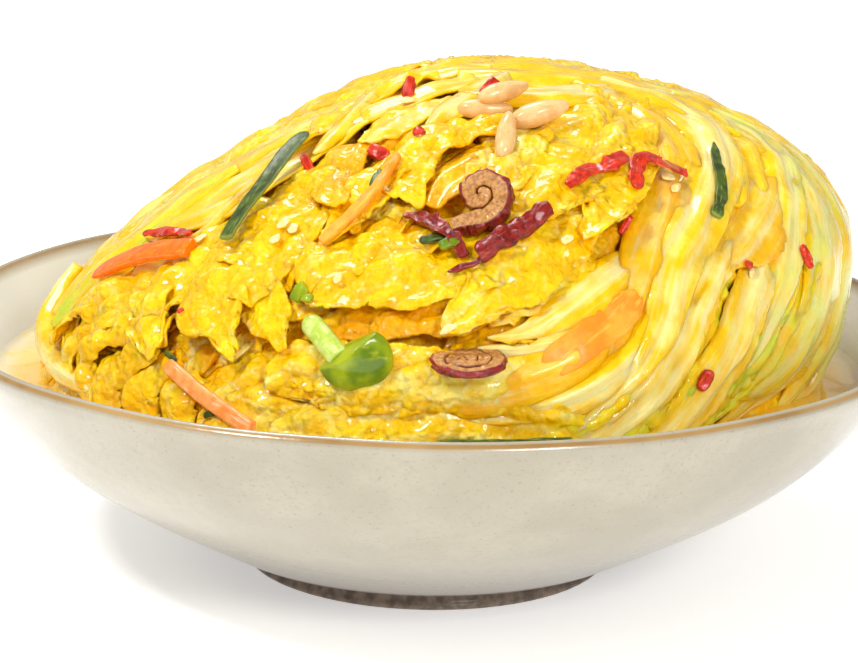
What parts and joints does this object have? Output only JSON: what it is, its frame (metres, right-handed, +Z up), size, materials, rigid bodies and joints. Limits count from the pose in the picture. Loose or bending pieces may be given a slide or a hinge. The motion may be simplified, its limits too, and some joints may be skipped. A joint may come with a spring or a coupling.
{
  "type": "bowl of yellow cabbage kimchi",
  "caption": "Wide footed stoneware bowl holding a tall heap of ribbed and frilled yellow cabbage leaves in broth, topped with nuts, fruit slices and vegetable strips.",
  "frame": {"origin": "middle of the bowl's foot, on the table", "axes": "+Z up along the bowl's axis, -Y towards the front, +X to the right"},
  "size_m": [0.26, 0.2598, 0.1384],
  "materials": {
    "glaze": "semi-gloss cream stoneware glaze with fine specks, bare brown-grey foot and thin brown rim",
    "broth": "clear orange-yellow liquid",
    "cabbage": "wet glossy leaf, pale ribs and saturated yellow frills",
    "pine_nut": "smooth satin nut",
    "jujube": "dry wrinkled dark red skin, tan flesh",
    "carrot": "wet orange",
    "scallion": "wet dark green",
    "scallion_white": "wet pale green",
    "green_pepper": "wet bright green skin",
    "red_chili": "wet red"
  },
  "bodies": {
    "root": {"bowl": "glaze", "broth": "broth", "cabbage_heap": "cabbage", "pine_nut_1": "pine_nut", "pine_nut_2": "pine_nut", "pine_nut_3": "pine_nut", "pine_nut_4": "pine_nut", "jujube_slice_1": "jujube", "jujube_slice_2": "jujube", "jujube_strip_1": "jujube", "jujube_strip_2": "jujube", "carrot_strip_1": "carrot", "carrot_strip_2": "carrot", "carrot_strip_3": "carrot", "carrot_strip_4": "carrot", "scallion_strip_1": "scallion", "scallion_strip_2": "scallion", "scallion_strip_3": "scallion", "scallion_rod": "scallion_white", "green_pepper": "green_pepper", "chili_strip_1": "red_chili", "chili_strip_2": "red_chili", "chili_strip_3": "red_chili"}
  },
  "joints": []
}
